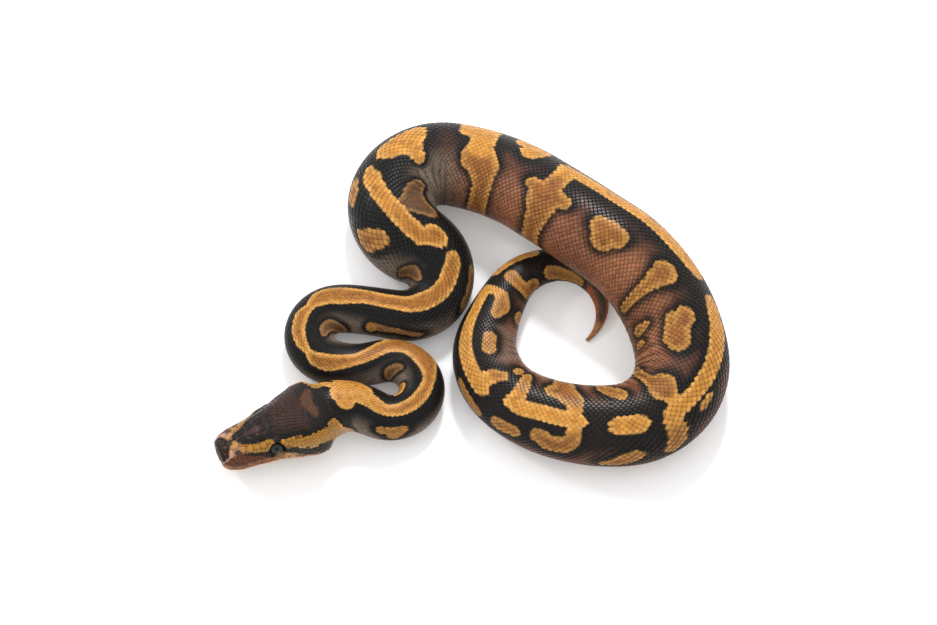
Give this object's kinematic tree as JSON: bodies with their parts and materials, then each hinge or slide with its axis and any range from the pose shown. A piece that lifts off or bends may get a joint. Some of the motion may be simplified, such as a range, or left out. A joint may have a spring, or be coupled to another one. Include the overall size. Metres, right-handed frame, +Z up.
{
  "type": "coiled ball python",
  "caption": "Young ball python lying coiled on its belly: head low and a little raised, front body in tight S bends, rear body in an open loop that crosses over the tail.",
  "frame": {"origin": "on the floor under the middle of the whole coil: x and y at the centre of the box, z at the belly flats", "axes": "+Z up; the head lies towards -X and -Y with its snout pointing to -X; the open loop and the tail lie towards +X"},
  "size_m": [0.1304, 0.0982, 0.0252],
  "materials": {
    "head_skin": "dark maroon-brown head shields with a golden stripe over each eye, low sheen",
    "jaw_skin": "cream and gold lip and chin shields, low sheen",
    "eye": "dark blue-grey iris and upright black pupil under a clear smooth cap",
    "neck_skin": "smooth small scales, golden stripe on near-black",
    "trunk_skin": "smooth small scales, golden and tan blotches on near-black and maroon, pale wide belly scales",
    "tail_skin": "smooth small scales, dark above with a golden tip"
  },
  "bodies": {
    "root": {"head": "head_skin", "lower_jaw": "jaw_skin", "eye_left": "eye", "eye_right": "eye", "neck": "neck_skin", "trunk_01": "trunk_skin", "trunk_02": "trunk_skin", "trunk_03": "trunk_skin", "trunk_04": "trunk_skin", "trunk_05": "trunk_skin", "trunk_06": "trunk_skin", "trunk_07": "trunk_skin", "trunk_08": "trunk_skin", "trunk_09": "trunk_skin", "trunk_10": "trunk_skin", "trunk_11": "trunk_skin", "trunk_12": "trunk_skin", "trunk_13": "trunk_skin", "trunk_14": "trunk_skin", "trunk_15": "trunk_skin", "trunk_16": "trunk_skin", "trunk_17": "trunk_skin", "trunk_18": "trunk_skin", "trunk_19": "trunk_skin", "tail_base": "tail_skin", "tail_tip": "tail_skin"}
  },
  "joints": []
}
